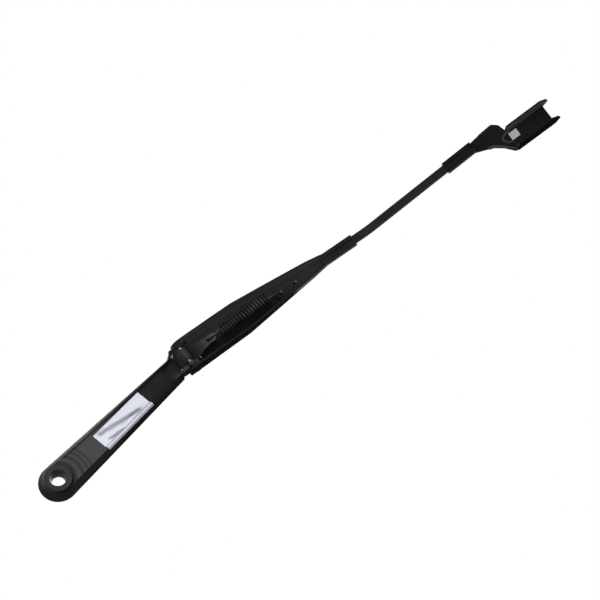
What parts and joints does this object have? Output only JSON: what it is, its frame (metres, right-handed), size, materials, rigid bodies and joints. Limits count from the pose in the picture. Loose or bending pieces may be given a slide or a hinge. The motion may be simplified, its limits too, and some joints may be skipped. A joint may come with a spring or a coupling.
{
  "type": "wiper arm",
  "caption": "Car wiper arm with a bored head, a folding sprung channel, a flat rod and a bracket that takes the blade.",
  "frame": {"origin": "on the axis of the spindle bore, in the plane of the head's back", "axes": "+X along the head from the spindle bore to the hinge, +Z out of the underside, towards the glass, +Y to the left seen from the underside with the bore nearest"},
  "size_m": [0.576, 0.1339, 0.1144],
  "materials": {
    "black_paint_cast": "satin",
    "black_paint_sheet": "satin",
    "black_paint_bracket": "satin",
    "black_paint_rod": "satin",
    "black_paint_rivet": "satin",
    "label_foil": "satin",
    "pin_steel": "satin",
    "bush": "satin",
    "hook_steel": "satin",
    "spring_steel": "satin"
  },
  "bodies": {
    "head": {"head_casting": "black_paint_cast", "label": "label_foil", "anchor_pin": "pin_steel", "bush_near": "bush", "bush_far": "bush"},
    "arm": {"channel": "black_paint_sheet", "hinge_rivet": "black_paint_rivet", "rod": "black_paint_rod", "blade_bracket": "black_paint_bracket"},
    "hook": {"hook_link": "hook_steel"},
    "spring": {"tension_spring": "spring_steel"}
  },
  "joints": [
    {"name": "arm_fold", "type": "hinge", "parent": "head", "child": "arm", "pos_m": [0.168, 0, 0.0075], "axis": [0.1908, 0.9816, 0], "range_deg": [0, 70], "stiffness_Nm_per_rad": 1.2, "springref_deg": -143.24},
    {"name": "hook_swing", "type": "hinge", "parent": "head", "child": "hook", "pos_m": [0.16431, 0.00072, 0.0134], "axis": [0.1908, 0.9816, 0], "range_deg": [0, 66.3]},
    {"name": "spring_swing", "type": "hinge", "parent": "arm", "child": "spring", "pos_m": [0.26821, -0.01948, 0.01919], "axis": [-0.1908, -0.9816, 0], "range_deg": [0, 3.8]}
  ],
  "couplings": [
    {"joint": "hook_swing", "follows": "arm_fold", "ratio": 0.946},
    {"joint": "spring_swing", "follows": "arm_fold", "ratio": 0.0537}
  ]
}
